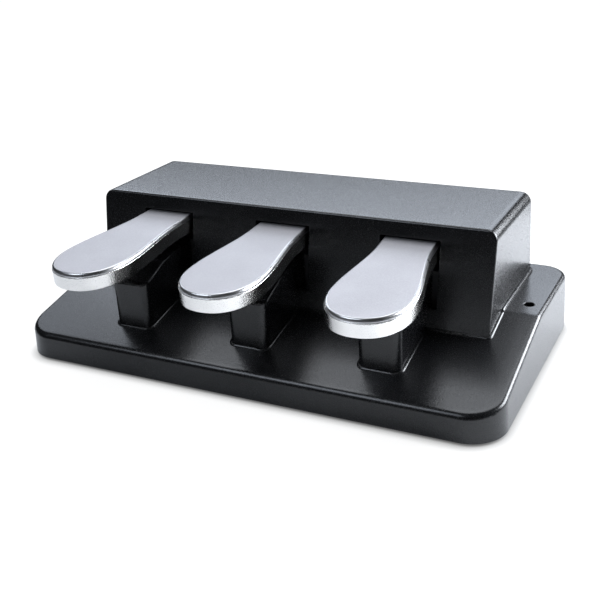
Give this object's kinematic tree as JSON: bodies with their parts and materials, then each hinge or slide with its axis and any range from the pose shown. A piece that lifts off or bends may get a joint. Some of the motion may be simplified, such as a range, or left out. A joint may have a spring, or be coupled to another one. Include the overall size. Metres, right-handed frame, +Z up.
{
  "type": "digital piano pedal unit",
  "caption": "Floor-standing pedal unit: silver pedals reach through slots in a black moulded housing, over guards on a sloping base with rounded corners.",
  "frame": {"origin": "middle of the footprint, on the floor under the rubber feet", "axes": "+X along the width, to the player's right; +Y to the rear, away from the player; +Z up"},
  "size_m": [0.285, 0.1817, 0.0845],
  "materials": {
    "case": "satin, fine spark-eroded texture",
    "plate": "matt powder coat",
    "feet": "matt",
    "screws": "zinc plated",
    "coated_metal": "thin black powder coat",
    "steel": "ground",
    "clips": "blackened",
    "felt": "pressed wool felt, black",
    "board": "satin solder mask",
    "nylon": "satin",
    "black_plastic": "satin",
    "gland": "matt",
    "pedal": "satin top, polished edge",
    "lever": "zinc plated",
    "spring": "bright spring wire"
  },
  "bodies": {
    "base": {"base_shell": "case", "housing_shell": "case", "guard_left": "case", "guard_centre": "case", "guard_right": "case", "base_plate": "plate", "rubber_feet": "feet", "case_screws": "screws", "bracket_left": "coated_metal", "bracket_centre": "coated_metal", "bracket_right": "coated_metal", "bracket_screws": "screws", "pivot_shaft": "steel", "shaft_clips": "clips", "stop_rail": "coated_metal", "rail_screws": "screws", "lower_felts": "felt", "upper_felts": "felt", "sensor_board": "board", "board_spacers": "nylon", "board_screws": "screws", "light_gates": "black_plastic", "wire_header": "nylon", "cable_gland": "gland", "spring_left": "spring", "spring_centre": "spring", "spring_right": "spring"},
    "pedal_left_arm": {"pedal_left": "pedal", "lever_left": "lever", "bushes_left": "nylon", "pedal_screws_left": "screws", "flag_left": "black_plastic"},
    "pedal_centre_arm": {"pedal_centre": "pedal", "lever_centre": "lever", "bushes_centre": "nylon", "pedal_screws_centre": "screws", "flag_centre": "black_plastic"},
    "pedal_right_arm": {"pedal_right": "pedal", "lever_right": "lever", "bushes_right": "nylon", "pedal_screws_right": "screws", "flag_right": "black_plastic"}
  },
  "joints": [
    {"name": "left_pedal_hinge", "type": "hinge", "parent": "base", "child": "pedal_left_arm", "pos_m": [-0.075, 0.058, 0.0415], "axis": [1, 0, 0], "range_deg": [0, 5], "stiffness_Nm_per_rad": 6.4, "springref_deg": -10.2, "deforming": ["spring_left"]},
    {"name": "centre_pedal_hinge", "type": "hinge", "parent": "base", "child": "pedal_centre_arm", "pos_m": [0, 0.058, 0.0415], "axis": [1, 0, 0], "range_deg": [0, 5], "stiffness_Nm_per_rad": 6.4, "springref_deg": -10.2, "deforming": ["spring_centre"]},
    {"name": "right_pedal_hinge", "type": "hinge", "parent": "base", "child": "pedal_right_arm", "pos_m": [0.075, 0.058, 0.0415], "axis": [1, 0, 0], "range_deg": [0, 5], "stiffness_Nm_per_rad": 6.4, "springref_deg": -10.2, "deforming": ["spring_right"]}
  ]
}
